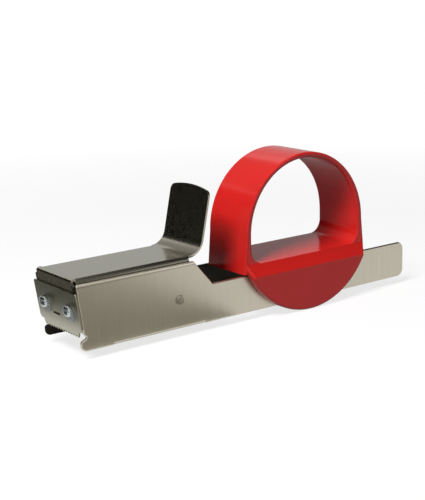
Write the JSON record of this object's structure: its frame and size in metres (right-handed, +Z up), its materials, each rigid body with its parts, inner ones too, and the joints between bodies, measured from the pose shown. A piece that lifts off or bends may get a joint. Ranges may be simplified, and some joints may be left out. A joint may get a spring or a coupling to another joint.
{
  "type": "packing tape dispenser",
  "caption": "Hand-held packing tape dispenser: bent steel side frame, sprung thumb lever with a toothed cutting blade, guide roller and a sliding grip hub.",
  "frame": {"origin": "middle of the bounding box's footprint, at its bottom, which is the lowest point of the hub's flange", "axes": "+X runs along the rail from the blade end to the rail's free end, +Y runs across from the long side and the hub's flange to the short side, +Z up"},
  "size_m": [0.1842, 0.0366, 0.0713],
  "materials": {
    "satin_steel": "satin nickel plate",
    "blade_steel": "hardened, satin",
    "bright_steel": "bright zinc plate",
    "spring_steel": "bright spring steel",
    "bracket_steel": "zinc plate",
    "rivet_aluminium": "plain",
    "roller_plastic": "black, matte",
    "bush_brass": "plain",
    "red_plastic": "gloss red"
  },
  "bodies": {
    "frame": {"side_frame": "satin_steel", "pivot_pin": "satin_steel", "pivot_washers": "satin_steel", "spring_spool": "satin_steel", "return_spring": "spring_steel", "tape_retainer": "spring_steel", "retainer_rivets": "rivet_aluminium"},
    "lever": {"thumb_lever": "satin_steel", "cutting_blade": "blade_steel", "clamp_plates": "bright_steel", "blade_screws": "bright_steel", "blade_nuts": "bright_steel", "lock_washers": "bright_steel"},
    "roller": {"guide_roller": "roller_plastic", "roller_bushes": "bush_brass"},
    "hub": {"grip_hub": "red_plastic", "rail_bracket": "bracket_steel", "bracket_screws": "bracket_steel", "friction_spring": "spring_steel", "friction_rivets": "rivet_aluminium"}
  },
  "joints": [
    {"name": "lever_hinge", "type": "hinge", "parent": "frame", "child": "lever", "pos_m": [-0.03983, 0.00153, 0.01647], "axis": [0, -1, 0], "range_deg": [0, 4], "stiffness_Nm_per_rad": 0.5, "springref_deg": -14.32},
    {"name": "roller_spin", "type": "hinge", "parent": "frame", "child": "roller", "pos_m": [-0.03983, 0.00153, 0.01647], "axis": [0, 1, 0], "continuous": true},
    {"name": "hub_slide", "type": "slide", "parent": "frame", "child": "hub", "axis": [1, 0, 0], "range_m": [-0.0126, 0.1035]}
  ]
}
